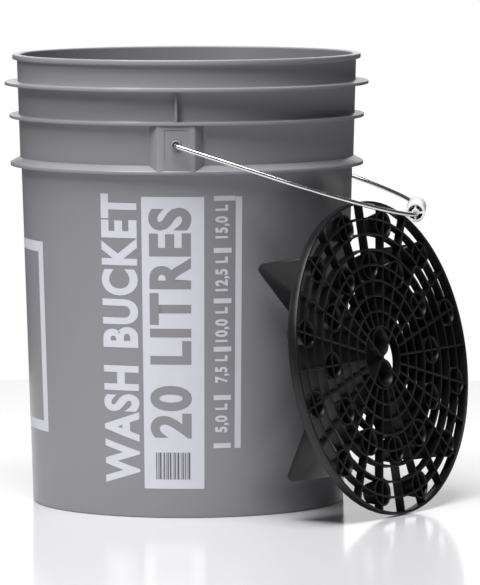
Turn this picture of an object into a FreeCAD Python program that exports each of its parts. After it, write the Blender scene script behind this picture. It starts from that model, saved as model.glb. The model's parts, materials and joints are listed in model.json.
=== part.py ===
import FreeCAD, Part
import math
import os

# Wash bucket: a tapered moulded pail with a swinging wire bail, a roller grip on the bail, and a round
# dirt insert that leans against the pail's side. Millimetres, +Z up.
# The origin is the centre of the pail's base, where it meets the ground. The ears lie on Y, so the bail
# turns about Y, and it hangs towards +X.

Vector = FreeCAD.Vector

# Pail
pail_height = 388.0
base_radius = 135.0             # of the wall's outer face, at the ground
wall_draft_deg = 1.65
upper_wall_step = 0.8           # the wall stands out by this much above the lowest hoop
wall_thickness = 2.6
foot_height = 10.0              # from the ground to the underside of the floor
floor_thickness = 2.8
foot_width = 4.0                # of the ring that the pail stands on
foot_edge_round = 1.4
floor_corner_round = 6.0
rim_reach = 4.0                 # how far the rim stands out of the wall
rim_depth = 4.5
rim_edge_round = 1.2

# Hoops round the pail, measured down from the rim's top to each hoop's underside
hoop_depth = 2.8
hoop_edge_round = 0.6
top_hoop_drop = 26.4
top_hoop_reach = 11.4
middle_hoop_drop = 54.8
middle_hoop_reach = 8.2
low_hoop_drop = 96.0
low_hoop_reach = 9.4
low_hoop_bevel = 4.5            # height of the slope on top of the lowest hoop
inner_step_run = 2.0            # height over which the wall's inside follows its outward step

# Ears that carry the bail, one at each end of the Y axis
ear_face_width = 32.0
ear_root_width = 45.0
ear_wall = 2.4
pivot_drop = 71.2               # from the rim's top to the bail's axis
ear_ring_radius = 4.2
ear_ring_height = 0.8
ear_mouth_radius = 2.9
ear_panel_width = 20.0          # shallow panel round the hole
ear_panel_height = 26.0
ear_panel_depth = 0.4
ear_rib_width = 2.3             # upright rib over each ear, between the two upper hoops
ear_rib_setback = 2.7           # from the middle hoop's edge to the rib's
pivot_running_gap = 0.08

# Bail
wire_diameter = 3.8
bail_reach = 208.9              # from the bail's axis to the grip's axis
bail_rest_gap = 0.4             # between the resting bail and what stops it
bail_hoop_gap = 0.6             # between a leg and the widest hoop
bail_end_bend_radius = 4.5
bail_head_radius = 3.7          # the flattened end inside the ear's pocket
bail_head_thickness = 1.6
bail_head_gap = 0.3

# Grip
grip_length = 76.0
grip_radius = 8.3
grip_wall = 2.0
grip_hub_wall = 1.3
grip_running_gap = 0.08
grip_web_count = 4
grip_web_thickness = 1.6
grip_web_root = 0.3             # how far each web runs into the hub and the wall
grip_end_clearance = 7.0        # straight wire left beyond each end of the grip
grip_groove_depth = 0.8
grip_groove_width = 2.2
grip_groove_inset = 5.0

# Dirt insert
insert_pail_clearance = 0.4     # round the rim when the insert stands on the pail's floor
insert_rim_width = 2.2
insert_rim_depth = 6.5
insert_rib_depth = 8.0
insert_rib_width = 1.7
insert_lattice_recess = 1.0     # the lattice lies this far below the rim's front edge
insert_ring_pitch = 13.25
insert_first_ring = 2           # rings inside this multiple of the pitch are left out
insert_rim_space = 8.0          # least space between the rim and the outermost ring
insert_spoke_count = 24
funnel_radius = 12.2
funnel_outlet_radius = 8.6
funnel_wall = 1.3
funnel_length = 15.0
funnel_count = 12               # in each of the two circles
funnel_rim_space = 3.6          # between the rim and the outer circle of funnels
funnel_circle_pitch = 37.0
hub_funnel_circle = 13.5
insert_depth = 56.4             # from the rim's front edge to the fins' free edges
fin_thickness = 2.4
fin_count = 4
fin_rim_inset = 3.4             # from the rim's outside to the fins' ends
fin_corner_round = 9.0
insert_facing_deg = 59.4        # which way the insert faces, turned from -Y towards +X
insert_lean_deg = 9.4
insert_side_shift = 4.9         # sideways, to the insert's own right
insert_wall_gap = 0.3

cut_margin = 1.0                # how far a cutting shape runs past the surface it opens

wire_radius = wire_diameter / 2
wall_slope = math.tan(math.radians(wall_draft_deg))
floor_top = foot_height + floor_thickness
top_hoop_z = pail_height - top_hoop_drop
middle_hoop_z = pail_height - middle_hoop_drop
low_hoop_z = pail_height - low_hoop_drop
pivot_z = pail_height - pivot_drop
rim_under_z = pail_height - rim_depth


def outer_radius(z):
    """Radius of the wall's outer face at height z."""
    step = upper_wall_step if z > low_hoop_z else 0.0
    return base_radius + z * wall_slope + step


def inner_radius(z):
    return outer_radius(z) - wall_thickness


def save(name, shape):
    shape.exportStep("parts/" + name + ".step")
    print(name, "solids", len(shape.Solids), "volume cm3", round(shape.Volume / 1000, 2), shape.isValid())


def polygon_face(points):
    return Part.Face(Part.makePolygon(points + points[:1]))


def box_between(low, high):
    return Part.makeBox(high[0] - low[0], high[1] - low[1], high[2] - low[2], Vector(*low))


def cylinder_along_y(radius, start_y, length, z=0.0):
    return Part.makeCylinder(radius, length, Vector(0, start_y, z), Vector(0, 1, 0))


def circles_at(shape, radius, z, tolerance=0.05):
    """The circular edges of a turned shape at one radius and height."""
    found = []
    for edge in shape.Edges:
        if not isinstance(edge.Curve, Part.Circle):
            continue
        same_height = abs(edge.Curve.Center.z - z) < tolerance
        if same_height and abs(edge.Curve.Radius - radius) < tolerance:
            found.append(edge)
    return found


insert_rim_radius = inner_radius(floor_top + insert_depth) - insert_pail_clearance
insert_last_ring = int((insert_rim_radius - insert_rim_width - insert_rim_space) / insert_ring_pitch)
outer_funnel_circle = insert_rim_radius - insert_rim_width - funnel_rim_space - funnel_radius
inner_funnel_circle = outer_funnel_circle - funnel_circle_pitch


# ---- pail ----

top_hoop_radius = outer_radius(top_hoop_z) + top_hoop_reach
middle_hoop_radius = outer_radius(middle_hoop_z) + middle_hoop_reach
low_hoop_radius = outer_radius(low_hoop_z) + low_hoop_reach
rim_radius = outer_radius(rim_under_z) + rim_reach
widest_hoop_radius = max(top_hoop_radius, middle_hoop_radius, low_hoop_radius, rim_radius)


def hoop_profile(z, radius):
    top = z + hoop_depth
    return [(outer_radius(z), z), (radius, z), (radius, top), (outer_radius(top), top)]


def pail_profile():
    """Half section of the pail as (radius, height) points, without its rounded edges."""
    low_top = low_hoop_z + hoop_depth
    bevel_top = low_top + low_hoop_bevel
    points = [(outer_radius(0) - foot_width, 0), (outer_radius(0), 0)]
    points += [(outer_radius(low_hoop_z), low_hoop_z), (low_hoop_radius, low_hoop_z)]
    points += [(low_hoop_radius, low_top), (outer_radius(bevel_top), bevel_top)]
    points += hoop_profile(middle_hoop_z, middle_hoop_radius)
    points += hoop_profile(top_hoop_z, top_hoop_radius)
    points += [(outer_radius(rim_under_z), rim_under_z), (rim_radius, rim_under_z)]
    points += [(rim_radius, pail_height), (inner_radius(pail_height), pail_height)]
    points.append((inner_radius(low_hoop_z) + upper_wall_step, low_hoop_z))
    points.append((inner_radius(low_hoop_z), low_hoop_z - inner_step_run))
    points += [(inner_radius(floor_top), floor_top), (0, floor_top), (0, foot_height)]
    points += [(outer_radius(foot_height) - foot_width, foot_height)]
    return points


def pail_shell():
    outline = [Vector(radius, 0, z) for radius, z in pail_profile()]
    shell = polygon_face(outline).revolve(Vector(0, 0, 0), Vector(0, 0, 1), 360)
    shell = shell.makeFillet(foot_edge_round, circles_at(shell, outer_radius(0), 0))
    shell = shell.makeFillet(floor_corner_round, circles_at(shell, inner_radius(floor_top), floor_top))
    rim_edges = circles_at(shell, rim_radius, pail_height) + circles_at(shell, rim_radius, rim_under_z)
    shell = shell.makeFillet(rim_edge_round, rim_edges)
    hoop_edges = circles_at(shell, low_hoop_radius, low_hoop_z)
    for z, radius in [(middle_hoop_z, middle_hoop_radius), (top_hoop_z, top_hoop_radius)]:
        hoop_edges += circles_at(shell, radius, z) + circles_at(shell, radius, z + hoop_depth)
    return shell.makeFillet(hoop_edge_round, hoop_edges)


ear_face_y = math.sqrt(low_hoop_radius ** 2 - (ear_face_width / 2) ** 2)
ear_top_z = middle_hoop_z + hoop_depth
ear_wall_y = outer_radius(ear_top_z) * math.cos(math.asin(ear_root_width / 2 / outer_radius(ear_top_z)))
ear_plate_y = ear_face_y - ear_wall
ear_height = ear_top_z - low_hoop_z


def ear_block():
    """The ear at +Y, with its pocket, before the hole."""
    half_face = ear_face_width / 2
    half_root = ear_root_width / 2
    root_y = ear_wall_y - wall_thickness
    outline = [(-half_root, root_y), (-half_root, ear_wall_y), (-half_face, ear_face_y)]
    outline += [(half_face, ear_face_y), (half_root, ear_wall_y), (half_root, root_y)]
    face = polygon_face([Vector(x, y, low_hoop_z) for x, y in outline])
    block = face.extrude(Vector(0, 0, ear_height))
    low_radius = outer_radius(low_hoop_z) - wall_thickness / 2
    high_radius = outer_radius(ear_top_z) - wall_thickness / 2
    return block.cut(Part.makeCone(low_radius, high_radius, ear_height, Vector(0, 0, low_hoop_z)))


def ear_pocket():
    """The space behind the ear's face, as deep as the wall allows and open below."""
    half_width = ear_face_width / 2 - ear_wall
    low = (-half_width, outer_radius(middle_hoop_z), low_hoop_z - cut_margin)
    return box_between(low, (half_width, ear_plate_y, middle_hoop_z))


def ear_rib():
    low = (-ear_rib_width / 2, outer_radius(ear_top_z) - wall_thickness / 2, ear_top_z)
    return box_between(low, (ear_rib_width / 2, middle_hoop_radius - ear_rib_setback, top_hoop_z))


def add_ear(shell, turn_deg):
    def turned(shape):
        copy = shape.copy()
        copy.rotate(Vector(0, 0, 0), Vector(0, 0, 1), turn_deg)
        return copy

    panel_low = (-ear_panel_width / 2, ear_face_y - ear_panel_depth, pivot_z - ear_panel_height / 2)
    panel_high = (ear_panel_width / 2, ear_face_y + cut_margin, pivot_z + ear_panel_height / 2)
    ring = cylinder_along_y(ear_ring_radius, ear_plate_y, ear_wall + ear_ring_height, z=pivot_z)
    through = cut_margin + ear_wall + ear_ring_height + cut_margin
    bore = cylinder_along_y(wire_radius + pivot_running_gap, ear_plate_y - cut_margin, through, z=pivot_z)
    mouth_length = ear_wall / 2 + ear_ring_height
    mouth = cylinder_along_y(ear_mouth_radius, ear_plate_y + ear_wall / 2, mouth_length, z=pivot_z)
    block = ear_block().fuse(ear_rib()).cut(box_between(panel_low, panel_high)).fuse(ring)
    holes = ear_pocket().fuse(bore).fuse(mouth)
    return shell.fuse(turned(block)).cut(turned(holes))


def make_pail():
    shape = add_ear(pail_shell(), 0)
    return add_ear(shape, 180).removeSplitter()


# ---- where the dirt insert leans ----

fin_reach = insert_rim_radius - fin_rim_inset
fin_first_deg = 180 / fin_count


def insert_distance():
    """How far the insert's centre stands from the pail's axis, so that its fins just clear the wall."""
    tilt = math.radians(insert_lean_deg)
    samples = 120
    needed = 0.0
    for index in range(fin_count):
        turn = math.radians(fin_first_deg + 360 / fin_count * index)
        for step in range(samples + 1):
            along = fin_reach * step / samples
            for side in (-fin_thickness / 2, fin_thickness / 2):
                right = along * math.cos(turn) - side * math.sin(turn)
                up = along * math.sin(turn) + side * math.cos(turn)
                z = insert_centre_z + up * math.cos(tilt) - insert_depth * math.sin(tilt)
                sideways = right + insert_side_shift
                back = insert_depth * math.cos(tilt) + up * math.sin(tilt)
                wall = outer_radius(z) + insert_wall_gap
                if abs(sideways) < wall:
                    needed = max(needed, back + math.sqrt(wall ** 2 - sideways ** 2))
    return needed


lean = math.radians(insert_lean_deg)
facing = math.radians(insert_facing_deg)
insert_centre_z = insert_rim_radius * math.cos(lean) + insert_rim_depth * math.sin(lean)
insert_out = Vector(math.sin(facing), -math.cos(facing), 0)
insert_right = Vector(math.cos(facing), math.sin(facing), 0)
insert_centre = insert_out * insert_distance() + insert_right * insert_side_shift
insert_centre.z = insert_centre_z
insert_normal = insert_out * math.cos(lean) + Vector(0, 0, math.sin(lean))
insert_up = insert_normal.cross(insert_right)


def in_insert_frame(point):
    """A point's distances to the insert's right, up along its face, and in front of its rim."""
    offset = point - insert_centre
    return offset.dot(insert_right), offset.dot(insert_up), offset.dot(insert_normal)


# ---- bail and grip ----

leg_y = widest_hoop_radius + bail_hoop_gap + wire_radius
straight_half = grip_length / 2 + grip_end_clearance
bail_bow_radius = leg_y - straight_half
head_outer_y = ear_plate_y - bail_head_gap


def bail_axis_samples():
    """(radius, y, reach) of the grip and the wire bow at close steps, without the end bends."""
    samples = []
    grip_steps = 40
    for step in range(grip_steps + 1):
        samples.append((grip_radius, grip_length * (step / grip_steps - 0.5), bail_reach))
    for step in range(91):
        turn = math.radians(step)
        reach = bail_reach - bail_bow_radius * (1 - math.cos(turn))
        side_y = straight_half + bail_bow_radius * math.sin(turn)
        samples += [(wire_radius, side_y, reach), (wire_radius, -side_y, reach)]
    return samples


def bail_surface_points(drop):
    """Points round the grip and the bow, with the bail that far below level."""
    points = []
    around = 12
    for radius, y, reach in bail_axis_samples():
        middle = Vector(reach * math.cos(drop), y, pivot_z - reach * math.sin(drop))
        for index in range(around):
            turn = 2 * math.pi * index / around
            points.append(middle + Vector(math.cos(turn), 0, math.sin(turn)) * (radius + bail_rest_gap))
    return points


def bail_is_clear(drop):
    for point in bail_surface_points(drop):
        if math.hypot(point.x, point.y) < outer_radius(point.z):
            return False
        right, up, front = in_insert_frame(point)
        if math.hypot(right, up) < insert_rim_radius and -insert_depth < front < 0:
            return False
    return True


def bail_rest_angle():
    """The bail falls from level until it meets the insert, or else the pail."""
    step = 0.2
    lowest = 80.0
    drop_deg = 0.0
    while drop_deg < lowest and bail_is_clear(math.radians(drop_deg + step)):
        drop_deg += step
    return math.radians(drop_deg)


bail_rest_drop = bail_rest_angle()


def bail_point(y, reach):
    """A point of the bail at rest: reach is its distance from the bail's axis, in the bail's plane."""
    return Vector(reach * math.cos(bail_rest_drop), y, pivot_z - reach * math.sin(bail_rest_drop))


def bail_arc(centre_y, centre_reach, radius, start_deg, end_deg):
    points = []
    for angle in (start_deg, (start_deg + end_deg) / 2, end_deg):
        turn = math.radians(angle)
        points.append(bail_point(centre_y + radius * math.cos(turn), centre_reach + radius * math.sin(turn)))
    return Part.Arc(*points).toShape()


def bail_line(start, end):
    return Part.LineSegment(bail_point(*start), bail_point(*end)).toShape()


def make_bail_wire():
    bend = bail_end_bend_radius
    bow_start = bail_reach - bail_bow_radius
    edges = [bail_line((head_outer_y - bail_head_thickness, 0), (leg_y - bend, 0))]
    edges.append(bail_arc(leg_y - bend, bend, bend, -90, 0))
    edges.append(bail_line((leg_y, bend), (leg_y, bow_start)))
    edges.append(bail_arc(straight_half, bow_start, bail_bow_radius, 0, 90))
    edges.append(bail_line((straight_half, bail_reach), (-straight_half, bail_reach)))
    edges.append(bail_arc(-straight_half, bow_start, bail_bow_radius, 90, 180))
    edges.append(bail_line((-leg_y, bow_start), (-leg_y, bend)))
    edges.append(bail_arc(-leg_y + bend, bend, bend, 180, 270))
    edges.append(bail_line((-leg_y + bend, 0), (-head_outer_y + bail_head_thickness, 0)))
    section_centre = bail_point(head_outer_y - bail_head_thickness, 0)
    section = Part.Wire(Part.makeCircle(wire_radius, section_centre, Vector(0, 1, 0)))
    wire = Part.Wire(edges).makePipeShell([section], True, True)
    for side_y in (head_outer_y - bail_head_thickness, -head_outer_y):
        wire = wire.fuse(cylinder_along_y(bail_head_radius, side_y, bail_head_thickness, z=pivot_z))
    return wire


def make_bail_grip():
    centre = bail_point(0, bail_reach)
    half = grip_length / 2

    def tube(outer, inner):
        return cylinder_along_y(outer, -half, grip_length).cut(cylinder_along_y(inner, -half, grip_length))

    bore_radius = wire_radius + grip_running_gap
    hub_radius = bore_radius + grip_hub_wall
    shape = tube(grip_radius, grip_radius - grip_wall).fuse(tube(hub_radius, bore_radius))
    for index in range(grip_web_count):
        web_low = (hub_radius - grip_web_root, -half, -grip_web_thickness / 2)
        web = box_between(web_low, (grip_radius - grip_wall + grip_web_root, half, grip_web_thickness / 2))
        web.rotate(Vector(0, 0, 0), Vector(0, 1, 0), 360 / grip_web_count * index)
        shape = shape.fuse(web)
    for side in (-1, 1):
        groove_y = side * (half - grip_groove_inset) - grip_groove_width / 2
        outside = cylinder_along_y(grip_radius + cut_margin, groove_y, grip_groove_width)
        groove = outside.cut(cylinder_along_y(grip_radius - grip_groove_depth, groove_y, grip_groove_width))
        shape = shape.cut(groove)
    shape = shape.removeSplitter()
    shape.translate(centre)
    return shape


# ---- dirt insert ----
# It is drawn flat, with its front edge at z = 0 and its fins down, and then stood up against the pail.

lattice_top = -insert_lattice_recess
lattice_back = lattice_top - insert_rib_depth
funnel_step_deg = 360 / funnel_count


def flat_ring(outer, inner, low, high):
    at = Vector(0, 0, low)
    return Part.makeCylinder(outer, high - low, at).cut(Part.makeCylinder(inner, high - low, at))


def funnel_centres():
    centres = []
    for index in range(funnel_count):
        centres.append((outer_funnel_circle, funnel_step_deg * (index + 0.5)))
        centres.append((inner_funnel_circle, funnel_step_deg * index))
    centres += [(hub_funnel_circle, 90), (hub_funnel_circle, 270)]
    return [Vector(r * math.cos(math.radians(a)), r * math.sin(math.radians(a)), 0) for r, a in centres]


def funnel_cone(shrink):
    foot = Vector(0, 0, lattice_top - funnel_length)
    return Part.makeCone(funnel_outlet_radius - shrink, funnel_radius - shrink, funnel_length, foot)


def make_flat_grille():
    half_rib = insert_rib_width / 2
    ribs = []
    for index in range(insert_first_ring, insert_last_ring + 1):
        radius = index * insert_ring_pitch
        ribs.append(flat_ring(radius + half_rib, radius - half_rib, lattice_back, lattice_top))
    hub_radius = insert_first_ring * insert_ring_pitch
    for index in range(insert_spoke_count):
        low = (hub_radius, -half_rib, lattice_back)
        spoke = box_between(low, (insert_rim_radius - insert_rim_width / 2, half_rib, lattice_top))
        spoke.rotate(Vector(0, 0, 0), Vector(0, 0, 1), 360 / insert_spoke_count * index)
        ribs.append(spoke)
    for index in range(fin_count):
        low = (0, -half_rib, lattice_back)
        arm = box_between(low, (hub_radius, half_rib, lattice_top))
        arm.rotate(Vector(0, 0, 0), Vector(0, 0, 1), fin_first_deg + 360 / fin_count * index)
        ribs.append(arm)
    rim = flat_ring(insert_rim_radius, insert_rim_radius - insert_rim_width, -insert_rim_depth, 0)
    wheel = ribs[0].multiFuse(ribs[1:]).fuse(rim)
    funnel = funnel_cone(0).cut(funnel_cone(funnel_wall))
    funnels = []
    for centre in funnel_centres():
        copy = funnel.copy()
        copy.translate(centre)
        funnels.append(copy)
    return wheel.multiFuse(funnels).removeSplitter()


def make_flat_fins():
    """The crossed fins behind the lattice, cut clear of the funnels."""
    half = fin_thickness / 2
    tolerance = 0.01
    fins = None
    for index in range(fin_count):
        fin = box_between((-half, -half, -insert_depth), (fin_reach, half, lattice_back))
        corner = []
        for edge in fin.Edges:
            middle = edge.CenterOfMass
            if abs(middle.x - fin_reach) < tolerance and abs(middle.z + insert_depth) < tolerance:
                corner.append(edge)
        fin = fin.makeFillet(fin_corner_round, corner)
        fin.rotate(Vector(0, 0, 0), Vector(0, 0, 1), fin_first_deg + 360 / fin_count * index)
        fins = fin if fins is None else fins.fuse(fin)
    for centre in funnel_centres():
        cone = funnel_cone(0)
        cone.translate(centre)
        if fins.common(cone).Volume > tolerance:
            fins = fins.cut(cone)
    return fins.removeSplitter()


def stood_up(shape):
    """Move a flat piece of the insert to where it leans against the pail."""
    matrix = FreeCAD.Matrix()
    for row, axis in enumerate("xyz"):
        values = [getattr(v, axis) for v in (insert_right, insert_up, insert_normal, insert_centre)]
        for column, value in enumerate(values):
            setattr(matrix, "A%d%d" % (row + 1, column + 1), value)
    copy = shape.copy()
    copy.Placement = FreeCAD.Placement(matrix)
    return copy


os.makedirs("parts", exist_ok=True)
save("pail", make_pail())
save("bail_wire", make_bail_wire())
save("bail_grip", make_bail_grip())
save("insert_grille", stood_up(make_flat_grille()))
save("insert_fins", stood_up(make_flat_fins()))
print("pivot height", round(pivot_z, 2), "leg y", round(leg_y, 2), "bow radius", round(bail_bow_radius, 2))
print("bail rests below level by degrees", round(math.degrees(bail_rest_drop), 2))
print("insert rim radius", round(insert_rim_radius, 2), "rings to", insert_last_ring)
print("insert centre", insert_centre, "distance", round(insert_distance(), 2))
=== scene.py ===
import json
import math
import bmesh
import bpy
from mathutils import Matrix, Vector

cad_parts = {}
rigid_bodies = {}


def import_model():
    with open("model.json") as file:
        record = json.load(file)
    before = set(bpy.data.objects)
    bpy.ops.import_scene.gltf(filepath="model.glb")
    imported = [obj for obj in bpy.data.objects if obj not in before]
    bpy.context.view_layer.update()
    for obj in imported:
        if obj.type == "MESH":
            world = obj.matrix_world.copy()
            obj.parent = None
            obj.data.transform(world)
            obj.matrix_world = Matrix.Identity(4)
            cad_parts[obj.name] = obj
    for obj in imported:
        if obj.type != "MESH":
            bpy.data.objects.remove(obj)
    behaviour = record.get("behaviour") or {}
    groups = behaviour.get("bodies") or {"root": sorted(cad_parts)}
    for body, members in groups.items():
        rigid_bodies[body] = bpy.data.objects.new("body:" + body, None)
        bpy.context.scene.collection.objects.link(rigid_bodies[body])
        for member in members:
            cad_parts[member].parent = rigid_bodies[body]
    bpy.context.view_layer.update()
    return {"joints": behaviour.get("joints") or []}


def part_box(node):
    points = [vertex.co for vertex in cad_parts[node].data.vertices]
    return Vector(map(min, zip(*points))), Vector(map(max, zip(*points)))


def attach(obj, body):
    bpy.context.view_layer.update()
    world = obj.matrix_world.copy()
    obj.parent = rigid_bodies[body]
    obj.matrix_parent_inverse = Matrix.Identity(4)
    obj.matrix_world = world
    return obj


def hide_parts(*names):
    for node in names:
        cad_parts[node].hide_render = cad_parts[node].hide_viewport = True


for leftover in list(bpy.data.objects):
    bpy.data.objects.remove(leftover)

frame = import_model()
print("frame loaded")

mm = 0.001
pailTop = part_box("pail")[1].z
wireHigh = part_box("bail_wire")[1]
gripLow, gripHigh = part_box("bail_grip")
joints = {joint["name"]: joint for joint in frame["joints"]}
bailPivot = Vector(joints["bail_swing"]["pos_m"])
gripCentre = Vector(joints["grip_spin"]["pos_m"])


# ---- small helpers ----

def newMesh(name, bm, sharpDeg=35):
    mesh = bpy.data.meshes.new(name)
    bm.to_mesh(mesh)
    bm.free()
    mesh.shade_smooth()
    mesh.set_sharp_from_angle(angle=math.radians(sharpDeg))
    piece = bpy.data.objects.new(name, mesh)
    bpy.context.scene.collection.objects.link(piece)
    return piece


def spinProfile(bm, points, steps, closed=True):
    # points are (radius, height); the profile stands in the XZ plane
    verts = [bm.verts.new((radius, 0, height)) for radius, height in points]
    edges = [bm.edges.new(pair) for pair in zip(verts, verts[1:])]
    if closed:
        edges.append(bm.edges.new((verts[-1], verts[0])))
    bmesh.ops.spin(bm, geom=verts + edges, cent=(0, 0, 0), axis=(0, 0, 1), angle=math.tau,
                   steps=steps, use_merge=True, use_duplicate=False)
    bmesh.ops.remove_doubles(bm, verts=bm.verts, dist=1e-6)
    bmesh.ops.recalc_face_normals(bm, faces=bm.faces)


def bevelEdges(bm, edges, width, segments=2):
    bmesh.ops.bevel(bm, geom=edges, offset=width, offset_type="OFFSET", segments=segments,
                    profile=0.5, affect="EDGES", material=-1, clamp_overlap=True)


def ringEdges(bm, radius, height, slack=1e-5):
    found = []
    for edge in bm.edges:
        ends = edge.verts
        onRing = all(abs(v.co.xy.length - radius) < slack and abs(v.co.z - height) < slack for v in ends)
        if onRing:
            found.append(edge)
    return found


def sharpEdges(bm, minDeg=40):
    limit = math.radians(minDeg)
    return [e for e in bm.edges if len(e.link_faces) == 2 and e.calc_face_angle(0) > limit]


def edgesAlong(bm, axis):
    # edges that rise by more than a millimetre along the axis
    return [e for e in bm.edges if abs(e.verts[0].co[axis] - e.verts[1].co[axis]) > 1 * mm]


def addBox(bm, low, high):
    made = bmesh.ops.create_cube(bm, size=1)["verts"]
    low, high = Vector(low), Vector(high)
    bmesh.ops.scale(bm, verts=made, vec=high - low)
    bmesh.ops.translate(bm, verts=made, vec=(low + high) / 2)


def joinInto(bm, other, matrix):
    # a copy of the bmesh other, moved by matrix, is added to bm
    mesh = bpy.data.meshes.new("copy")
    other.to_mesh(mesh)
    mesh.transform(matrix)
    bm.from_mesh(mesh)
    bpy.data.meshes.remove(mesh)


def applyBoolean(piece, bm, operation):
    tool = newMesh("tool", bm)
    step = piece.modifiers.new("step", "BOOLEAN")
    step.operation = operation
    step.solver = "EXACT"
    step.object = tool
    graph = bpy.context.evaluated_depsgraph_get()
    result = bpy.data.meshes.new_from_object(piece.evaluated_get(graph))
    piece.modifiers.clear()
    piece.data = result
    bpy.data.objects.remove(tool)


# ---- materials ----

def makeGroup(name, inputs, outputs):
    group = bpy.data.node_groups.new(name, "ShaderNodeTree")
    for label, kind, value in inputs:
        group.interface.new_socket(label, in_out="INPUT", socket_type=kind).default_value = value
    for label, kind in outputs:
        group.interface.new_socket(label, in_out="OUTPUT", socket_type=kind)
    return group


def link(tree, fromNode, fromSocket, toNode, toSocket):
    tree.links.new(fromNode.outputs[fromSocket], toNode.inputs[toSocket])


skinDetail = {"peelDetail": 3, "peelStep": 0.4 * mm, "lineStretch": (6, 6, 420), "lineDetail": 2,
              "lineStep": 0.3 * mm, "rubDetail": 3, "rubRange": (0.2, 0.8)}


def makeMouldedSkin():
    # fine orange peel, faint level lines left by the turned mould, and soft rubs of handling
    d = skinDetail
    group = makeGroup("mouldedSkin",
                      [("Peel Scale", "NodeSocketFloat", 900.0), ("Peel Depth", "NodeSocketFloat", 0.05),
                       ("Line Depth", "NodeSocketFloat", 0.0), ("Rub Scale", "NodeSocketFloat", 18.0),
                       ("Rough Low", "NodeSocketFloat", 0.3), ("Rough High", "NodeSocketFloat", 0.42)],
                      [("Normal", "NodeSocketVector"), ("Roughness", "NodeSocketFloat"),
                       ("Rub", "NodeSocketFloat")])
    nodes = group.nodes
    entry = nodes.new("NodeGroupInput")
    leave = nodes.new("NodeGroupOutput")
    place = nodes.new("ShaderNodeTexCoord")
    peel = nodes.new("ShaderNodeTexNoise")
    peel.inputs["Detail"].default_value = d["peelDetail"]
    link(group, place, "Object", peel, "Vector")
    link(group, entry, "Peel Scale", peel, "Scale")
    peelBump = nodes.new("ShaderNodeBump")
    peelBump.inputs["Distance"].default_value = d["peelStep"]
    link(group, entry, "Peel Depth", peelBump, "Strength")
    link(group, peel, "Fac", peelBump, "Height")
    squeeze = nodes.new("ShaderNodeMapping")
    squeeze.inputs["Scale"].default_value = d["lineStretch"]
    link(group, place, "Object", squeeze, "Vector")
    lines = nodes.new("ShaderNodeTexNoise")
    lines.inputs["Scale"].default_value = 1.0
    lines.inputs["Detail"].default_value = d["lineDetail"]
    link(group, squeeze, "Vector", lines, "Vector")
    lineBump = nodes.new("ShaderNodeBump")
    lineBump.inputs["Distance"].default_value = d["lineStep"]
    link(group, entry, "Line Depth", lineBump, "Strength")
    link(group, lines, "Fac", lineBump, "Height")
    link(group, peelBump, "Normal", lineBump, "Normal")
    rub = nodes.new("ShaderNodeTexNoise")
    rub.inputs["Detail"].default_value = d["rubDetail"]
    link(group, place, "Object", rub, "Vector")
    link(group, entry, "Rub Scale", rub, "Scale")
    mask = nodes.new("ShaderNodeMapRange")
    mask.inputs["From Min"].default_value, mask.inputs["From Max"].default_value = d["rubRange"]
    link(group, rub, "Fac", mask, "Value")
    spread = nodes.new("ShaderNodeMapRange")
    link(group, mask, "Result", spread, "Value")
    link(group, entry, "Rough Low", spread, "To Min")
    link(group, entry, "Rough High", spread, "To Max")
    link(group, lineBump, "Normal", leave, "Normal")
    link(group, spread, "Result", leave, "Roughness")
    link(group, mask, "Result", leave, "Rub")
    return group


mouldedSkin = makeMouldedSkin()


def newMaterial(name):
    material = bpy.data.materials.new(name)
    material.use_nodes = True
    shader = material.node_tree.nodes["Principled BSDF"]
    return material, material.node_tree, shader


def moulded(name, look):
    material, tree, shader = newMaterial(name)
    skin = tree.nodes.new("ShaderNodeGroup")
    skin.node_tree = mouldedSkin
    for label in ("Peel Scale", "Peel Depth", "Line Depth", "Rub Scale", "Rough Low", "Rough High"):
        skin.inputs[label].default_value = look[label]
    tint = tree.nodes.new("ShaderNodeMix")
    tint.data_type = "RGBA"
    tint.inputs["A"].default_value = look["colour"]
    tint.inputs["B"].default_value = look["rubbed"]
    link(tree, skin, "Rub", tint, "Factor")
    link(tree, tint, "Result", shader, "Base Color")
    link(tree, skin, "Roughness", shader, "Roughness")
    link(tree, skin, "Normal", shader, "Normal")
    shader.inputs["IOR"].default_value = 1.49
    shader.inputs["Specular IOR Level"].default_value = look["shine"]
    material.diffuse_color = look["colour"]
    return material


pailPlastic = moulded("pailPlastic", {
    "colour": (0.226, 0.222, 0.237, 1), "rubbed": (0.227, 0.223, 0.238, 1), "shine": 0.5, "Line Depth": 0.035,
    "Peel Scale": 700.0, "Peel Depth": 0.03, "Rub Scale": 12.0, "Rough Low": 0.285, "Rough High": 0.29})
# painted shade: the same grey plastic as the outside, given a darker colour for the inside of the pail
pailInnerPaintedShade = moulded("pailInnerPaintedShade", {
    "colour": (0.12, 0.118, 0.125, 1), "rubbed": (0.121, 0.119, 0.126, 1), "shine": 0.4, "Line Depth": 0.035,
    "Peel Scale": 700.0, "Peel Depth": 0.03, "Rub Scale": 12.0, "Rough Low": 0.40, "Rough High": 0.405})
gripPlastic = moulded("gripPlastic", {
    "colour": (0.82, 0.82, 0.82, 1), "rubbed": (0.77, 0.77, 0.765, 1), "shine": 0.5, "Line Depth": 0.0,
    "Peel Scale": 900.0, "Peel Depth": 0.03, "Rub Scale": 60.0, "Rough Low": 0.24, "Rough High": 0.4})
insertPlastic = moulded("insertPlastic", {
    "colour": (0.006, 0.0055, 0.006, 1), "rubbed": (0.010, 0.0095, 0.010, 1), "shine": 0.35, "Line Depth": 0.0,
    "Peel Scale": 1200.0, "Peel Depth": 0.05, "Rub Scale": 40.0, "Rough Low": 0.28, "Rough High": 0.44})
printInk = moulded("printInk", {
    "colour": (0.57, 0.57, 0.62, 1), "rubbed": (0.54, 0.54, 0.58, 1), "shine": 0.4, "Line Depth": 0.02,
    "Peel Scale": 1500.0, "Peel Depth": 0.05, "Rub Scale": 90.0, "Rough Low": 0.38, "Rough High": 0.55})
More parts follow.
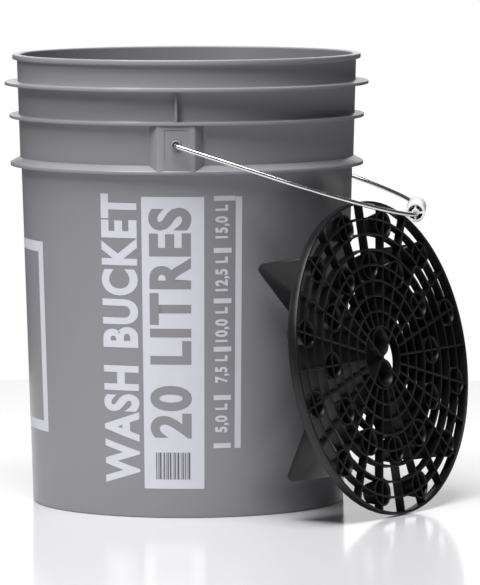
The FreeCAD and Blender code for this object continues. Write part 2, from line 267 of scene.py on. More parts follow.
printDark = moulded("printDark", {
    "colour": (0.06, 0.06, 0.065, 1), "rubbed": (0.09, 0.09, 0.095, 1), "shine": 0.4, "Line Depth": 0.02,
    "Peel Scale": 1500.0, "Peel Depth": 0.05, "Rub Scale": 90.0, "Rough Low": 0.38, "Rough High": 0.55})


steelLook = {"bright": (0.78, 0.78, 0.77, 1), "dull": (0.62, 0.62, 0.61, 1), "plain": (0.75, 0.75, 0.74, 1),
             "spotScale": 260, "spotDetail": 5, "spotRange": (0.35, 0.7), "rough": (0.12, 0.3),
             "bumpStrength": 0.08, "bumpStep": 0.2 * mm}


def makeWireSteel():
    # bright drawn wire with a zinc coat and small dull spots
    look = steelLook
    material, tree, shader = newMaterial("wireSteel")
    place = tree.nodes.new("ShaderNodeTexCoord")
    spots = tree.nodes.new("ShaderNodeTexNoise")
    spots.inputs["Scale"].default_value = look["spotScale"]
    spots.inputs["Detail"].default_value = look["spotDetail"]
    link(tree, place, "Object", spots, "Vector")
    rough = tree.nodes.new("ShaderNodeMapRange")
    rough.inputs["From Min"].default_value, rough.inputs["From Max"].default_value = look["spotRange"]
    rough.inputs["To Min"].default_value, rough.inputs["To Max"].default_value = look["rough"]
    link(tree, spots, "Fac", rough, "Value")
    link(tree, rough, "Result", shader, "Roughness")
    tint = tree.nodes.new("ShaderNodeMix")
    tint.data_type = "RGBA"
    tint.inputs["A"].default_value = look["bright"]
    tint.inputs["B"].default_value = look["dull"]
    link(tree, spots, "Fac", tint, "Factor")
    link(tree, tint, "Result", shader, "Base Color")
    bump = tree.nodes.new("ShaderNodeBump")
    bump.inputs["Strength"].default_value = look["bumpStrength"]
    bump.inputs["Distance"].default_value = look["bumpStep"]
    link(tree, spots, "Fac", bump, "Height")
    link(tree, bump, "Normal", shader, "Normal")
    shader.inputs["Metallic"].default_value = 1.0
    material.diffuse_color = look["plain"]
    return material


wireSteel = makeWireSteel()
print("materials made")


# ---- pail ----

pailShape = {
    "baseRadius": 135 * mm, "draftDeg": 1.65, "upperStep": 0.8 * mm, "wall": 2.6 * mm,
    "footHeight": 10 * mm, "floorThickness": 2.8 * mm, "footWidth": 4 * mm,
    "footRound": 1.4 * mm, "floorRound": 6 * mm,
    "rimReach": 4 * mm, "rimDepth": 4.5 * mm, "rimRound": 1.2 * mm,
    "hoopDepth": 2.8 * mm, "hoopRound": 0.6 * mm, "hoopRootRound": 0.9 * mm,
    "topHoop": (26.4 * mm, 11.4 * mm), "middleHoop": (54.8 * mm, 8.2 * mm),   # drop from the rim, reach
    "lowHoop": (96 * mm, 9.4 * mm), "lowHoopBevel": 4.5 * mm,
    "wallLevels": (60 * mm, 140 * mm, 220 * mm), "innerStepRun": 2 * mm,
    "joinDepth": 2.08 * mm,         # how far joined shapes reach into the wall
    "sharpDeg": 28, "steps": 180,
}
lowHoopZ = pailTop - pailShape["lowHoop"][0]
middleHoopZ = pailTop - pailShape["middleHoop"][0]
topHoopZ = pailTop - pailShape["topHoop"][0]


def wallRadius(height, above=None):
    above = height > lowHoopZ if above is None else above
    step = pailShape["upperStep"] if above else 0
    return pailShape["baseRadius"] + height * math.tan(math.radians(pailShape["draftDeg"])) + step


def hoopPoints(height, reach):
    top = height + pailShape["hoopDepth"]
    edge = wallRadius(height) + reach
    return [(wallRadius(height), height), (edge, height), (edge, top), (wallRadius(top), top)]


def buildPailBody():
    s = pailShape
    lowEdge = wallRadius(lowHoopZ, False) + s["lowHoop"][1]
    lowTop = lowHoopZ + s["hoopDepth"]
    rimUnder = pailTop - s["rimDepth"]
    rimEdge = wallRadius(rimUnder) + s["rimReach"]
    floorTop = s["footHeight"] + s["floorThickness"]
    points = [(wallRadius(0) - s["footWidth"], 0), (wallRadius(0), 0)]
    points += [(wallRadius(z), z) for z in s["wallLevels"]]
    points += [(wallRadius(lowHoopZ, False), lowHoopZ), (lowEdge, lowHoopZ), (lowEdge, lowTop)]
    points.append((wallRadius(lowTop + s["lowHoopBevel"]), lowTop + s["lowHoopBevel"]))
    points += hoopPoints(middleHoopZ, s["middleHoop"][1]) + hoopPoints(topHoopZ, s["topHoop"][1])
    points += [(wallRadius(rimUnder), rimUnder), (rimEdge, rimUnder), (rimEdge, pailTop)]
    points.append((wallRadius(pailTop) - s["wall"], pailTop))
    points += [(wallRadius(lowHoopZ, True) - s["wall"], lowHoopZ)]
    stepEnd = lowHoopZ - s["innerStepRun"]
    points += [(wallRadius(stepEnd) - s["wall"], stepEnd)]
    points += [(wallRadius(z) - s["wall"], z) for z in reversed(s["wallLevels"])]
    points += [(wallRadius(floorTop) - s["wall"], floorTop)]
    points += [(0, floorTop), (0, s["footHeight"])]
    points.append((wallRadius(s["footHeight"]) - s["footWidth"], s["footHeight"]))
    bm = bmesh.new()
    spinProfile(bm, points, s["steps"])
    bevelEdges(bm, ringEdges(bm, wallRadius(floorTop) - s["wall"], floorTop), s["floorRound"], 5)
    bevelEdges(bm, ringEdges(bm, wallRadius(0), 0), s["footRound"], 3)
    rims = ringEdges(bm, rimEdge, pailTop) + ringEdges(bm, rimEdge, rimUnder)
    bevelEdges(bm, rims + ringEdges(bm, wallRadius(pailTop) - s["wall"], pailTop), s["rimRound"], 3)
    outer = ringEdges(bm, lowEdge, lowHoopZ) + ringEdges(bm, lowEdge, lowTop)
    roots = ringEdges(bm, wallRadius(lowHoopZ, False), lowHoopZ) + ringEdges(bm, wallRadius(rimUnder), rimUnder)
    for height, reach in ((middleHoopZ, s["middleHoop"][1]), (topHoopZ, s["topHoop"][1])):
        for level in (height, height + s["hoopDepth"]):
            outer += ringEdges(bm, wallRadius(height) + reach, level)
            roots += ringEdges(bm, wallRadius(level), level)
    bevelEdges(bm, outer, s["hoopRound"], 2)
    bevelEdges(bm, roots, s["hoopRootRound"], 2)
    return newMesh("pailBody", bm)


earShape = {
    "faceWidth": 32 * mm, "rootWidth": 45 * mm, "wall": 2.4 * mm,
    "panel": (20 * mm, 26 * mm, 0.4 * mm),          # width, height and depth of the sunk panel
    "ringRadius": 4.3 * mm, "ringHeight": 1.1 * mm, "ringRound": 0.55 * mm,
    "boreRadius": 1.98 * mm, "mouthRadius": 3.1 * mm,
    "ribWidth": 2.3 * mm, "ribReach": 0.66, "edgeRound": 0.5 * mm, "ribRound": 0.4 * mm, "panelRound": 1.2 * mm,
    "overlap": 0.5 * mm, "seamLift": 0.02 * mm,     # how far parts run into each other, and a gap between two faces
    "cutRun": 3 * mm,                               # how far a cutting shape stands out of the face
}
lowHoopEdge = wallRadius(lowHoopZ, False) + pailShape["lowHoop"][1]
earTop = middleHoopZ + pailShape["hoopDepth"]
earFace = math.sqrt(lowHoopEdge ** 2 - (earShape["faceWidth"] / 2) ** 2)
earPlate = earFace - earShape["wall"]


def addPrism(bm, outline, low, high):
    verts = [bm.verts.new((x, y, low)) for x, y in outline]
    face = bm.faces.new(verts)
    top = bmesh.ops.extrude_face_region(bm, geom=[face])["geom"]
    moved = [item for item in top if isinstance(item, bmesh.types.BMVert)]
    bmesh.ops.translate(bm, verts=moved, vec=(0, 0, high - low))
    bmesh.ops.recalc_face_normals(bm, faces=bm.faces)


def addDisc(bm, radius, start, end, height, segments=40):
    # a short round bar along Y
    turn = Matrix.Rotation(math.pi / 2, 4, "X")
    place = Matrix.Translation((0, (start + end) / 2, height)) @ turn
    bmesh.ops.create_cone(bm, cap_ends=True, segments=segments, radius1=radius, radius2=radius,
                          depth=end - start, matrix=place)


def turned(bm, half):
    if half:
        bmesh.ops.rotate(bm, verts=bm.verts, cent=(0, 0, 0), matrix=Matrix.Rotation(math.pi, 3, "Z"))
    return bm


def earBlock():
    e = earShape
    halfFace, halfRoot = e["faceWidth"] / 2, e["rootWidth"] / 2
    wallY = math.sqrt(wallRadius(earTop) ** 2 - halfRoot ** 2)
    rootY = wallY - pailShape["joinDepth"]
    backY = wallRadius(lowHoopZ) - e["overlap"]
    bm = bmesh.new()
    outline = [(-halfRoot, rootY), (-halfRoot, wallY), (-halfFace, earFace)]
    outline += [(halfFace, earFace), (halfRoot, wallY), (halfRoot, rootY)]
    outline += [(halfRoot / 2, backY), (-halfRoot / 2, backY)]
    addPrism(bm, outline, lowHoopZ + e["seamLift"], earTop)
    front = [edge for edge in bm.edges if all(abs(v.co.y - earFace) < 1e-6 for v in edge.verts)]
    bevelEdges(bm, front, e["edgeRound"], 2)
    return bm


def earRib():
    e = earShape
    bm = bmesh.new()
    front = wallRadius(middleHoopZ) + pailShape["middleHoop"][1] * e["ribReach"]
    addBox(bm, (-e["ribWidth"] / 2, wallRadius(earTop) - 2 * e["overlap"], earTop - e["overlap"]),
           (e["ribWidth"] / 2, front, topHoopZ + 2 * e["overlap"]))
    bevelEdges(bm, edgesAlong(bm, 2), e["ribRound"], 2)
    return bm


def earPanel():
    width, height, depth = earShape["panel"]
    bm = bmesh.new()
    addBox(bm, (-width / 2, earFace - depth, bailPivot.z - height / 2),
           (width / 2, earFace + earShape["cutRun"], bailPivot.z + height / 2))
    bevelEdges(bm, edgesAlong(bm, 1), earShape["panelRound"], 4)
    return bm


def earRing():
    bm = bmesh.new()
    start, end = earPlate + earShape["overlap"], earFace + earShape["ringHeight"]
    addDisc(bm, earShape["ringRadius"], start, end, bailPivot.z)
    outer = [e for e in bm.edges if all(v.co.y > earFace for v in e.verts)]
    bevelEdges(bm, outer, earShape["ringRound"], 4)
    return bm


def earHollows():
    e = earShape
    half, end = e["faceWidth"] / 2 - e["wall"], earFace + e["cutRun"]
    pocket, bore, mouth = bmesh.new(), bmesh.new(), bmesh.new()
    addBox(pocket, (-half, wallRadius(middleHoopZ), lowHoopZ - e["cutRun"]), (half, earPlate, middleHoopZ))
    addDisc(bore, e["boreRadius"], earPlate - e["cutRun"], end, bailPivot.z)
    addDisc(mouth, e["mouthRadius"], (earPlate + earFace) / 2, end, bailPivot.z)
    return [pocket, bore, mouth]


pail = buildPailBody()
for half in (False, True):
    applyBoolean(pail, turned(earBlock(), half), "UNION")
    applyBoolean(pail, turned(earRib(), half), "UNION")
    applyBoolean(pail, turned(earPanel(), half), "DIFFERENCE")
    applyBoolean(pail, turned(earRing(), half), "UNION")
    for hollow in earHollows():
        applyBoolean(pail, turned(hollow, half), "DIFFERENCE")
pail.data.shade_smooth()
pail.data.set_sharp_from_angle(angle=math.radians(pailShape["sharpDeg"]))
pail.data.materials.clear()
pail.data.materials.append(pailPlastic)
pail.data.materials.append(pailInnerPaintedShade)
for face in pail.data.polygons:             # the inside gets painted shade, a darker colour, and a duller finish
    height = face.center.z
    inside = face.center.xy.length < wallRadius(height) - pailShape["joinDepth"]
    if inside and pailShape["footHeight"] + 1 * mm < height < pailTop - pailShape["rimRound"]:
        face.material_index = 1
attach(pail, "pail")
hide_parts("pail")
print("pail built", len(pail.data.polygons))


# ---- bail wire ----

wireShape = {"radius": 1.9 * mm, "endBend": 4.5 * mm, "headRadius": 3.7 * mm, "headThickness": 1.6 * mm,
             "headGap": 0.3 * mm, "gripClearance": 7 * mm, "segments": 20,
             "endSteps": 8, "bowSteps": 40, "sharpDeg": 50}


def growStraight(bm, loop, move):
    grown = bmesh.ops.extrude_edge_only(bm, edges=loop)["geom"]
    verts = [g for g in grown if isinstance(g, bmesh.types.BMVert)]
    bmesh.ops.translate(bm, verts=verts, vec=move)
    return [g for g in grown if isinstance(g, bmesh.types.BMEdge)]


def growSize(bm, loop, centre, factor):
    grown = growStraight(bm, loop, (0, 0, 0))
    verts = list({v for edge in grown for v in edge.verts})
    bmesh.ops.scale(bm, verts=verts, vec=(factor, factor, factor), space=Matrix.Translation(-Vector(centre)))
    return grown


def growBend(bm, loop, centre, angle, steps):
    # the bail lies flat in XY while it is bent, so every bend turns about Z
    ends = list({v for edge in loop for v in edge.verts})
    bent = bmesh.ops.spin(bm, geom=ends + loop, cent=centre, axis=(0, 0, 1), angle=angle, steps=steps,
                          use_duplicate=False)["geom_last"]
    return [g for g in bent if isinstance(g, bmesh.types.BMEdge)]


def buildBailWire():
    w = wireShape
    reachLine = gripCentre - bailPivot
    reach = reachLine.length
    legY = wireHigh.y - w["radius"]
    straightHalf = gripHigh.y + w["gripClearance"]
    bow = legY - straightHalf
    headOuter = earPlate - w["headGap"]
    bm = bmesh.new()
    headTurn = Matrix.Translation((0, headOuter - w["headThickness"], 0)) @ Matrix.Rotation(math.pi / 2, 4, "X")
    start = bmesh.ops.create_circle(bm, cap_ends=True, segments=w["segments"], radius=w["headRadius"],
                                    matrix=headTurn)["verts"]
    loop = list({edge for v in start for edge in v.link_edges})
    shrink = w["radius"] / w["headRadius"]
    loop = growStraight(bm, loop, (0, w["headThickness"], 0))
    loop = growSize(bm, loop, (0, headOuter, 0), shrink)
    loop = growStraight(bm, loop, (0, legY - w["endBend"] - headOuter, 0))
    loop = growBend(bm, loop, (w["endBend"], legY - w["endBend"], 0), -math.pi / 2, w["endSteps"])
    loop = growStraight(bm, loop, (reach - bow - w["endBend"], 0, 0))
    loop = growBend(bm, loop, (reach - bow, straightHalf, 0), -math.pi / 2, w["bowSteps"])
    loop = growStraight(bm, loop, (0, -2 * straightHalf, 0))
    loop = growBend(bm, loop, (reach - bow, -straightHalf, 0), -math.pi / 2, w["bowSteps"])
    loop = growStraight(bm, loop, (w["endBend"] + bow - reach, 0, 0))
    loop = growBend(bm, loop, (w["endBend"], -legY + w["endBend"], 0), -math.pi / 2, w["endSteps"])
    loop = growStraight(bm, loop, (0, legY - w["endBend"] - headOuter, 0))
    loop = growSize(bm, loop, (0, -headOuter, 0), 1 / shrink)
    loop = growStraight(bm, loop, (0, w["headThickness"], 0))
    bmesh.ops.contextual_create(bm, geom=loop)
    bmesh.ops.remove_doubles(bm, verts=bm.verts, dist=1e-7)
    bmesh.ops.recalc_face_normals(bm, faces=bm.faces)
    drop = math.atan2(-reachLine.z, reachLine.x)
    bmesh.ops.transform(bm, verts=bm.verts, matrix=Matrix.Translation(bailPivot) @ Matrix.Rotation(drop, 4, "Y"))
    return newMesh("bailWire", bm, w["sharpDeg"])


bailWire = buildBailWire()
bailWire.data.materials.append(wireSteel)
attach(bailWire, "bail")
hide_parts("bail_wire")
print("bail wire built")


# ---- grip ----

gripShape = {"wall": 2 * mm, "hubWall": 1.3 * mm, "boreRadius": 1.98 * mm, "webs": 4, "webThickness": 1.6 * mm,
             "grooveDepth": 0.8 * mm, "grooveWidth": 2.2 * mm, "grooveInset": 5 * mm, "lipRound": 0.35 * mm,
             "hubRound": 0.25 * mm, "webInset": 0.7 * mm, "webRoot": 0.4 * mm, "steps": 56, "hubSteps": 28}


def buildGrip():
    g = gripShape
    half = gripHigh.y
    radius = (gripHigh.z - gripLow.z) / 2
    inside = radius - g["wall"]
    grooveFloor = radius - g["grooveDepth"]
    near = half - g["grooveInset"] + g["grooveWidth"] / 2
    far = near - g["grooveWidth"]
    bm = bmesh.new()
    outer = [(inside, -half), (radius, -half), (radius, -near), (grooveFloor, -near), (grooveFloor, -far),
             (radius, -far), (radius, far), (grooveFloor, far), (grooveFloor, near), (radius, near),
             (radius, half), (inside, half)]
    spinProfile(bm, outer, g["steps"])
    bevelEdges(bm, sharpEdges(bm), g["lipRound"], 2)
    hub = bmesh.new()
    hubRadius = g["boreRadius"] + g["hubWall"]
    spinProfile(hub, [(g["boreRadius"], -half), (hubRadius, -half), (hubRadius, half), (g["boreRadius"], half)],
                g["hubSteps"])
    bevelEdges(hub, sharpEdges(hub, 60), g["hubRound"], 1)
    joinInto(bm, hub, Matrix.Identity(4))
    hub.free()
    web = bmesh.new()
    addBox(web, (hubRadius - g["webRoot"], -g["webThickness"] / 2, -half + g["webInset"]),
           (inside + g["webRoot"], g["webThickness"] / 2, half - g["webInset"]))
    for index in range(g["webs"]):
        joinInto(bm, web, Matrix.Rotation(math.tau / g["webs"] * index, 4, "Z"))
    web.free()
    place = Matrix.Translation(gripCentre) @ Matrix.Rotation(math.pi / 2, 4, "X")
    bmesh.ops.transform(bm, verts=bm.verts, matrix=place)
    return newMesh("bailGrip", bm)


bailGrip = buildGrip()
bailGrip.data.materials.append(gripPlastic)
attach(bailGrip, "grip")
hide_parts("bail_grip")
print("grip built")


# ---- dirt insert ----

insertShape = {
    "rimRadius": 133.99 * mm, "rimWidth": 2.2 * mm, "rimDepth": 6.5 * mm, "ribWidth": 1.7 * mm,
    "recess": 1 * mm, "ribDepth": 8 * mm, "ribRound": 0.3 * mm, "rimRound": 0.5 * mm, "rimSteps": 192,
    "ringPitch": 13.25 * mm, "firstRing": 2, "lastRing": 9, "spokes": 24, "arcSteps": 3, "spokeSlack": 0.1,
    "funnelRadius": 12.2 * mm, "funnelOutlet": 8.6 * mm, "funnelWall": 1.3 * mm, "funnelLength": 15 * mm,
    "funnels": 12, "funnelRimSpace": 3.6 * mm, "funnelPitch": 37 * mm, "hubFunnelCircle": 13.5 * mm,
    "funnelSteps": 36, "finEdgeRound": 0.35 * mm,
    "depth": 56.4 * mm, "finThickness": 2.4 * mm, "fins": 4, "finInset": 3.4 * mm, "finRound": 9 * mm,
    "facingDeg": 59.4, "leanDeg": 9.4, "distance": 198.33 * mm, "sideShift": 4.9 * mm,
}


def insertPlace():
    # from the flat insert, face up at z = 0, to where it leans on the pail
    s = insertShape
    facing, lean = math.radians(s["facingDeg"]), math.radians(s["leanDeg"])
    out = Vector((math.sin(facing), -math.cos(facing), 0))
    right = Vector((math.cos(facing), math.sin(facing), 0))
    normal = out * math.cos(lean) + Vector((0, 0, math.sin(lean)))
    up = normal.cross(right)
    centre = out * s["distance"] + right * s["sideShift"]
    centre.z = s["rimRadius"] * math.cos(lean) + s["rimDepth"] * math.sin(lean)
    place = Matrix((right, up, normal)).transposed().to_4x4()
    place.translation = centre
    return place


def funnelSpots():
    s = insertShape
    outerCircle = s["rimRadius"] - s["rimWidth"] - s["funnelRimSpace"] - s["funnelRadius"]
    spots = []
    for index in range(s["funnels"]):
        spots.append((outerCircle, (index + 0.5) * math.tau / s["funnels"]))
        spots.append((outerCircle - s["funnelPitch"], index * math.tau / s["funnels"]))
    spots += [(s["hubFunnelCircle"], math.pi / 2), (s["hubFunnelCircle"], -math.pi / 2)]
    return [Vector((r * math.cos(a), r * math.sin(a), 0)) for r, a in spots]


def addLattice(bm):
    # a wheel of cells: every cell is inset by half a rib and its middle taken out, which leaves the ribs
    s = insertShape
    steps = s["spokes"] * s["arcSteps"]
    radii = [index * s["ringPitch"] for index in range(s["firstRing"], s["lastRing"] + 1)]
    radii.append(s["rimRadius"] - s["rimWidth"] / 2)
    wheel = bmesh.new()
    spinProfile(wheel, [(radius, 0) for radius in radii], steps, closed=False)
    between = []
    for edge in wheel.edges:
        a, b = edge.verts
        middle = (a.co + b.co) / 2
        share = math.atan2(middle.y, middle.x) / (math.tau / s["spokes"])
        if abs(a.co.length - b.co.length) > 1 * mm and abs(share - round(share)) > s["spokeSlack"]:
            between.append(edge)
    bmesh.ops.dissolve_edges(wheel, edges=between, use_verts=False)
    cells = list(wheel.faces)
    bmesh.ops.inset_individual(wheel, faces=cells, thickness=s["ribWidth"] / 2, depth=0, use_even_offset=True)
    bmesh.ops.delete(wheel, geom=cells, context="FACES")
    bmesh.ops.recalc_face_normals(wheel, faces=wheel.faces)
    if sum(face.normal.z for face in wheel.faces) < 0:
        bmesh.ops.reverse_faces(wheel, faces=wheel.faces)
    grown = bmesh.ops.extrude_face_region(wheel, geom=list(wheel.faces), use_keep_orig=True)["geom"]
    sunk = [g for g in grown if isinstance(g, bmesh.types.BMVert)]
    bmesh.ops.translate(wheel, verts=sunk, vec=(0, 0, s["ribDepth"]))
    bmesh.ops.recalc_face_normals(wheel, faces=wheel.faces)
    tops = [e for e in sharpEdges(wheel, 69) if all(v.co.z > 1 * mm for v in e.verts)]
    bevelEdges(wheel, tops, s["ribRound"], 1)
    joinInto(bm, wheel, Matrix.Translation((0, 0, -s["recess"] - s["ribDepth"])))
    wheel.free()


def addRim(bm):
    s = insertShape
    band = bmesh.new()
    outer, inner, low = s["rimRadius"], s["rimRadius"] - s["rimWidth"], -s["rimDepth"]
    spinProfile(band, [(inner, low), (outer, low), (outer, 0), (inner, 0)], s["rimSteps"])
    bevelEdges(band, sharpEdges(band), s["rimRound"], 2)
    joinInto(bm, band, Matrix.Identity(4))
    band.free()


def addFunnels(bm):
    s = insertShape
    top, wall = -s["recess"], s["funnelWall"]
    end = top - s["funnelLength"]
    funnel = bmesh.new()
    spinProfile(funnel, [(s["funnelOutlet"] - wall, end), (s["funnelOutlet"], end), (s["funnelRadius"], top),
                         (s["funnelRadius"] - wall, top)], s["funnelSteps"])
    bevelEdges(funnel, sharpEdges(funnel), s["ribRound"], 2)
    for spot in funnelSpots():
        joinInto(bm, funnel, Matrix.Translation(spot))
    funnel.free()


def addHubArms(bm):
    s = insertShape
    hub = s["firstRing"] * s["ringPitch"]
    arm = bmesh.new()
    addBox(arm, (0, -s["ribWidth"] / 2, -s["recess"] - s["ribDepth"]), (hub, s["ribWidth"] / 2, -s["recess"]))
    bevelEdges(arm, [e for e in arm.edges if all(v.co.z > -2 * mm for v in e.verts)], s["ribRound"], 1)
    for index in range(s["fins"]):
        joinInto(bm, arm, Matrix.Rotation((index + 0.5) * math.tau / s["fins"], 4, "Z"))
    arm.free()


def buildGrille():
    bm = bmesh.new()
    addRim(bm)
    addLattice(bm)
    addFunnels(bm)
    addHubArms(bm)
    bmesh.ops.transform(bm, verts=bm.verts, matrix=insertPlace())
    return newMesh("insertGrille", bm)


def buildFins():
    s = insertShape
    reach, half = s["rimRadius"] - s["finInset"], s["finThickness"] / 2
    fin = bmesh.new()
    addBox(fin, (-half, -half, -s["depth"]), (reach, half, -s["recess"] - s["ribDepth"]))
    corner = [e for e in fin.edges if all(v.co.x > reach - 1e-6 and v.co.z < -s["depth"] + 1e-6 for v in e.verts)]
    bevelEdges(fin, corner, s["finRound"], 8)
    bevelEdges(fin, sharpEdges(fin, 60), s["finEdgeRound"], 2)
    bm = bmesh.new()
    for index in range(s["fins"]):
        joinInto(bm, fin, Matrix.Rotation((index + 0.5) * math.tau / s["fins"], 4, "Z"))
    fin.free()
    bmesh.ops.transform(bm, verts=bm.verts, matrix=insertPlace())
    return newMesh("insertFins", bm)


for piece, node in ((buildGrille(), "insert_grille"), (buildFins(), "insert_fins")):
    piece.data.materials.append(insertPlastic)
    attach(piece, "insert")
    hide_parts(node)
print("insert built")


# ---- print on the pail ----

printShape = {
    "lift": 0.12 * mm, "stack": 0.05 * mm, "slice": 4 * mm, "wrapRadius": 139.3 * mm,
    # every patch: azimuth from and to in degrees, then height from and to
    "panel": (-12.3, 9.2, 25 * mm, 273 * mm),
    "panelWords": (-9.9, 4.7, 68 * mm, 264 * mm),
    "panelBars": (-8.0, 4.7, 33 * mm, 56 * mm),
    "sideWords": (-27.5, -14.0, 29 * mm, 275 * mm),
    "scaleLine": (20.1, 22.4, 59 * mm, 273 * mm),
    "frame": (-86.0, -57.3, 66 * mm, 230 * mm), "frameLine": 9 * mm,
    "scaleWords": (13.0, 17.4), "scaleTick": (12.5, 18.7, 4.2 * mm), "topTick": 20.0, "tickGap": 3.2 * mm,
    # litres, height of the mark's middle and length of the words below it, both in mm
    "marks": ((None, 61.5, 0), (5.0, 102.5, 24.5), (7.5, 143.7, 23.2), (10.0, 184.7, 29.7),
              (12.5, 227.5, 29.3), (15.0, 271.5, 28.5)),
    "bold": 0.04, "letterSpace": 1.13, "curveSteps": 5, "sharpDeg": 60,
    "barWidths": (2, 1, 1, 3, 1, 2, 1, 1, 2, 3, 1, 1, 2, 1, 3, 1, 1, 2, 2, 1, 1, 3),
}


def degToRun(deg):
    return math.radians(deg) * printShape["wrapRadius"]


def flatBar(bm, left, right, low, high):
    corners = ((left, low), (right, low), (right, high), (left, high))
    bm.faces.new([bm.verts.new((x, y, 0)) for x, y in corners])


def flatPatch(bm, patch):
    left, right, low, high = patch
    flatBar(bm, degToRun(left), degToRun(right), low, high)


def flatWords(bm, words, patch):
    # the words read upwards and fill the patch, with their feet on its right side
    left, right, low, high = patch
    curve = bpy.data.curves.new("words", "FONT")
    curve.body = words
    curve.offset = printShape["bold"]
    curve.space_character = printShape["letterSpace"]
    curve.resolution_u = printShape["curveSteps"]
    holder = bpy.data.objects.new("words", curve)
    bpy.context.scene.collection.objects.link(holder)
    graph = bpy.context.evaluated_depsgraph_get()
    mesh = bpy.data.meshes.new_from_object(holder.evaluated_get(graph))
    xs = [v.co.x for v in mesh.vertices]
    ys = [v.co.y for v in mesh.vertices if v.co.y > 0]
    foot = -printShape["bold"]
    stretch = Matrix.Diagonal(((high - low) / (max(xs) - min(xs)),
                               (degToRun(right) - degToRun(left)) / (max(ys) - foot), 1, 1))
    place = Matrix.Translation((degToRun(right), low, 0)) @ Matrix.Rotation(math.pi / 2, 4, "Z")
    mesh.transform(place @ stretch @ Matrix.Translation((-min(xs), -foot, 0)))
    bm.from_mesh(mesh)
    bpy.data.objects.remove(holder)
    bpy.data.meshes.remove(mesh)


def wrapOnPail(bm, name, material, lift):
    # slices the flat print so that it can follow the wall, and bends it round
    bmesh.ops.remove_doubles(bm, verts=bm.verts, dist=1e-6)
    span = [v.co.x for v in bm.verts]
    cut = math.floor(min(span) / printShape["slice"]) * printShape["slice"]
    while cut < max(span):
        bmesh.ops.bisect_plane(bm, geom=bm.verts[:] + bm.edges[:] + bm.faces[:], dist=1e-7,
                               plane_co=(cut, 0, 0), plane_no=(1, 0, 0))
        cut += printShape["slice"]
    bm.normal_update()
    backward = [face for face in bm.faces if face.normal.z < 0]
    bmesh.ops.reverse_faces(bm, faces=backward)
    for vert in bm.verts:
        turn = vert.co.x / printShape["wrapRadius"]
        radius = wallRadius(vert.co.y) + lift
        vert.co = Vector((math.sin(turn) * radius, -math.cos(turn) * radius, vert.co.y))
    bm.normal_update()
    piece = newMesh(name, bm, printShape["sharpDeg"])
    piece.data.materials.append(material)
    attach(piece, "pail")


def buildPanel():
    p = printShape
    bm = bmesh.new()
    flatPatch(bm, p["panel"])
    wrapOnPail(bm, "printPanel", printInk, p["lift"])
    bm = bmesh.new()
    flatWords(bm, "20 LITRES", p["panelWords"])
    wrapOnPail(bm, "panelWords", pailPlastic, p["lift"] + p["stack"])
    bm = bmesh.new()
    left, right, low, high = p["panelBars"]
    step = (degToRun(right) - degToRun(left)) / (sum(p["barWidths"]) * 2)
    at = degToRun(left)
    for width in p["barWidths"]:
        flatBar(bm, at, at + width * step, low, high)
        at += width * step * 2
    wrapOnPail(bm, "panelBars", printDark, p["lift"] + p["stack"])


def buildScale():
    p = printShape
    bm = bmesh.new()
    flatPatch(bm, p["scaleLine"])
    tickLeft, tickRight, tickHeight = p["scaleTick"]
    for litres, middle, length in p["marks"]:
        low = middle * mm - tickHeight / 2
        right = p["topTick"] if litres == p["marks"][-1][0] else tickRight
        flatPatch(bm, (tickLeft, right, low, low + tickHeight))
        if litres:
            words = ("%.1f L" % litres).replace(".", ",")
            end = low - p["tickGap"]
            flatWords(bm, words, p["scaleWords"] + (end - length * mm, end))
    wrapOnPail(bm, "printScale", printInk, p["lift"])


def buildSideWords():
    bm = bmesh.new()
    flatWords(bm, "WASH BUCKET", printShape["sideWords"])
    wrapOnPail(bm, "sideWords", printInk, printShape["lift"])


def buildFrame():
    left, right, low, high = printShape["frame"]
    line = printShape["frameLine"]
    x0, x1 = degToRun(left), degToRun(right)
    bm = bmesh.new()
    flatBar(bm, x0, x1, low, low + line)
    flatBar(bm, x0, x1, high - line, high)
    flatBar(bm, x0, x0 + line, low + line, high - line)
    flatBar(bm, x1 - line, x1, low + line, high - line)
    wrapOnPail(bm, "printFrame", printInk, printShape["lift"])


buildPanel()
buildScale()
buildSideWords()
buildFrame()
print("print laid on")


# ---- stage ----

stageLook = {"floorRadius": 1.0, "floorSteps": 96, "floorColour": (0.76, 0.755, 0.775, 1),
             "floorRough": 0.14, "floorShine": 0.13, "ambient": 0.08}
lightRig = {
    # name: place, aim, size, watts
    "keyBox": ((-2.0, -2.3, 2.9), (0, 0, 0.2), (1.3, 1.3), 88),
    "topBox": ((-0.3, -0.8, 2.5), (0, 0, 0.1), (2.0, 1.4), 108),
    "backFill": ((1.5, 2.8, 1.8), (0, 0, 0.2), (1.2, 1.2), 9),
    "hoopCard": ((0, 1.9, 0.72), (0, 0, 0.6), (1.2, 0.6), 3.0),
    "floorCard": ((0, 1.9, 0.6), (0, 0, 0.4), (2.6, 1.5), 13),
}
cameraLook = {"azimuthDeg": 3.45, "distance": 4.4462, "height": 0.57495, "downDeg": 5.082, "rightDeg": 0.588,
              "rollDeg": -0.193, "lens": 315.9, "sensor": 36, "clip": (0.1, 100)}


def makeFloor():
    bm = bmesh.new()
    bmesh.ops.create_circle(bm, cap_ends=True, segments=stageLook["floorSteps"],
                            radius=stageLook["floorRadius"])
    floor = newMesh("floor", bm)
    material, tree, shader = newMaterial("paleFloor")
    shader.inputs["Base Color"].default_value = stageLook["floorColour"]
    shader.inputs["Roughness"].default_value = stageLook["floorRough"]
    shader.inputs["Specular IOR Level"].default_value = stageLook["floorShine"]
    floor.data.materials.append(material)
    return floor


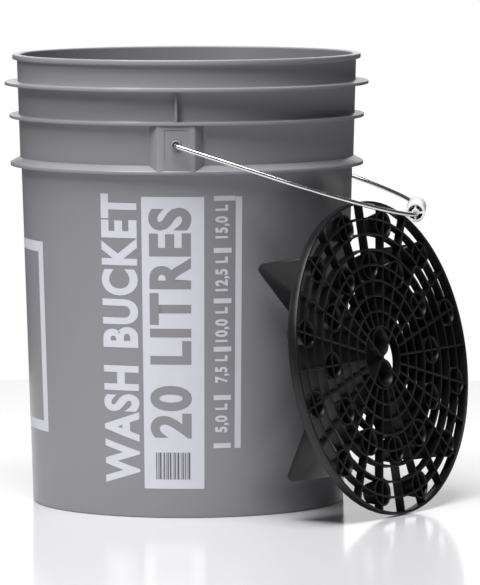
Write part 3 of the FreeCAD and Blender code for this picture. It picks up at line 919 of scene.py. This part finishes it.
def makeLights(floor):
    # the key light leaves the floor alone, so no hard shadow lies there, and one card shines on nothing else
    reach = {}
    for name, state in (("keyBox", "EXCLUDE"), ("floorCard", "INCLUDE")):
        reach[name] = bpy.data.collections.new(name + "Reach")
        reach[name].objects.link(floor)
        reach[name].collection_objects[0].light_linking.link_state = state
    for name, (place, aim, size, watts) in lightRig.items():
        light = bpy.data.lights.new(name, "AREA")
        light.shape = "RECTANGLE"
        light.size, light.size_y = size
        light.energy = watts
        holder = bpy.data.objects.new(name, light)
        holder.location = place
        holder.rotation_euler = (Vector(aim) - Vector(place)).to_track_quat("-Z", "Y").to_euler()
        holder.visible_camera = False
        holder.visible_glossy = name != "backFill"
        holder.visible_diffuse = not name.endswith("Card")     # the cards only show in a shine
        if name in reach:
            holder.light_linking.receiver_collection = reach[name]
        bpy.context.scene.collection.objects.link(holder)


def makeWorld():
    # a white surround for the camera, and a dim room for everything else
    world = bpy.data.worlds.new("studio")
    world.use_nodes = True
    nodes = world.node_tree.nodes
    white = nodes["Background"]
    white.inputs["Color"].default_value = (1, 1, 1, 1)
    dim = nodes.new("ShaderNodeBackground")
    dim.inputs["Color"].default_value = (1, 1, 1, 1)
    dim.inputs["Strength"].default_value = stageLook["ambient"]
    path = nodes.new("ShaderNodeLightPath")
    mix = nodes.new("ShaderNodeMixShader")
    tree = world.node_tree
    link(tree, path, "Is Camera Ray", mix, "Fac")
    tree.links.new(dim.outputs["Background"], mix.inputs[1])
    tree.links.new(white.outputs["Background"], mix.inputs[2])
    link(tree, mix, "Shader", nodes["World Output"], "Surface")
    bpy.context.scene.world = world


def makeCamera():
    c = cameraLook
    azimuth = math.radians(c["azimuthDeg"])
    lens = bpy.data.cameras.new("camera")
    lens.lens = c["lens"]
    lens.sensor_width = c["sensor"]
    lens.clip_start, lens.clip_end = c["clip"]
    camera = bpy.data.objects.new("camera", lens)
    heading = azimuth - math.radians(c["rightDeg"])
    turn = Matrix.Rotation(heading, 4, "Z") @ Matrix.Rotation(math.pi / 2 - math.radians(c["downDeg"]), 4, "X")
    turn = turn @ Matrix.Rotation(math.radians(c["rollDeg"]), 4, "Z")
    place = Vector((math.sin(azimuth) * c["distance"], -math.cos(azimuth) * c["distance"], c["height"]))
    camera.matrix_world = Matrix.Translation(place) @ turn
    bpy.context.scene.collection.objects.link(camera)
    bpy.context.scene.camera = camera


makeLights(makeFloor())
makeWorld()
makeCamera()
bpy.context.scene.view_settings.view_transform = "Standard"
print("stage set")
